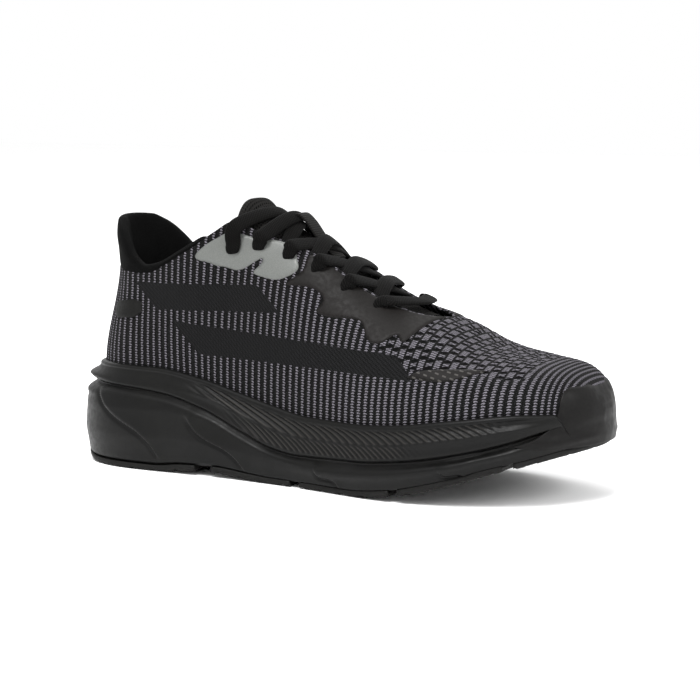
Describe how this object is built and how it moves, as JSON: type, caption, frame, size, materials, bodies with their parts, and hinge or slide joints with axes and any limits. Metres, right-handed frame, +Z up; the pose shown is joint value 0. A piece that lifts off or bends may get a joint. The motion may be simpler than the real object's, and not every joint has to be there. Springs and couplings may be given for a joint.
{
  "type": "running shoe",
  "caption": "Right-foot running shoe with a thick sculpted foam sole, ribbed knit upper, padded collar with tall heel tab and flat laces.",
  "frame": {"origin": "on the ground under the middle of the shoe", "axes": "+X to the toe, -Y to the outer side of the foot, +Z up"},
  "size_m": [0.2998, 0.1102, 0.1431],
  "materials": {
    "midsole_foam": "matte moulded foam",
    "outsole_rubber": "matte rubber",
    "bumper_tpu": "satin moulded plastic",
    "knit": "ribbed two-tone knit",
    "silver_film": "satin film",
    "dark_film": "satin film",
    "reflective_film": "retroreflective film",
    "collar_fabric": "smooth knit",
    "soft_foam": "open cell foam",
    "board": "non-woven board",
    "tongue_mesh": "perforated mesh",
    "lace_fabric": "woven flat lace",
    "aglet_plastic": "clear-coated tip"
  },
  "bodies": {
    "root": {"midsole_heel": "midsole_foam", "outsole_heel_lateral": "outsole_rubber", "outsole_heel_medial": "outsole_rubber", "outsole_midfoot_lateral": "outsole_rubber", "outsole_ball_lateral": "outsole_rubber", "outsole_ball_medial": "outsole_rubber", "upper_quarters": "knit", "upper_vamp": "knit", "eyestay_upper_lateral": "silver_film", "eyestay_upper_medial": "silver_film", "eyestay_lower_lateral": "dark_film", "eyestay_lower_medial": "dark_film", "heel_label": "dark_film", "heel_reflector": "reflective_film", "collar_lining": "collar_fabric", "heel_tab": "collar_fabric", "collar_rim_lateral": "collar_fabric", "collar_rim_medial": "collar_fabric", "insole_cover": "collar_fabric", "collar_foam": "soft_foam", "insole": "soft_foam", "strobel_board": "board", "heel_counter": "board", "tongue_base": "tongue_mesh", "lace": "lace_fabric", "lace_tails": "lace_fabric", "tongue_keeper": "lace_fabric", "aglets": "aglet_plastic"},
    "forefoot": {"midsole_forefoot": "midsole_foam", "outsole_forefoot_lateral": "outsole_rubber", "outsole_forefoot_medial": "outsole_rubber", "outsole_toe": "outsole_rubber", "upper_toebox": "knit", "toe_puff": "board", "toe_bumper": "bumper_tpu", "forefoot_film_lateral": "dark_film", "forefoot_film_medial": "dark_film"},
    "tongue_tip": {"tongue_end": "tongue_mesh"}
  },
  "joints": [
    {"name": "toe_flex", "type": "hinge", "parent": "root", "child": "forefoot", "pos_m": [0.058, 0, 0.0285], "axis": [0, -1, 0], "range_deg": [0, 25], "stiffness_Nm_per_rad": 1.6, "deforming": ["upper_vamp", "strobel_board", "insole", "insole_cover"]},
    {"name": "tongue_fold", "type": "hinge", "parent": "root", "child": "tongue_tip", "pos_m": [-0.038, 0, 0.113], "axis": [0, -1, 0], "range_deg": [0, 20], "stiffness_Nm_per_rad": 0.12}
  ]
}
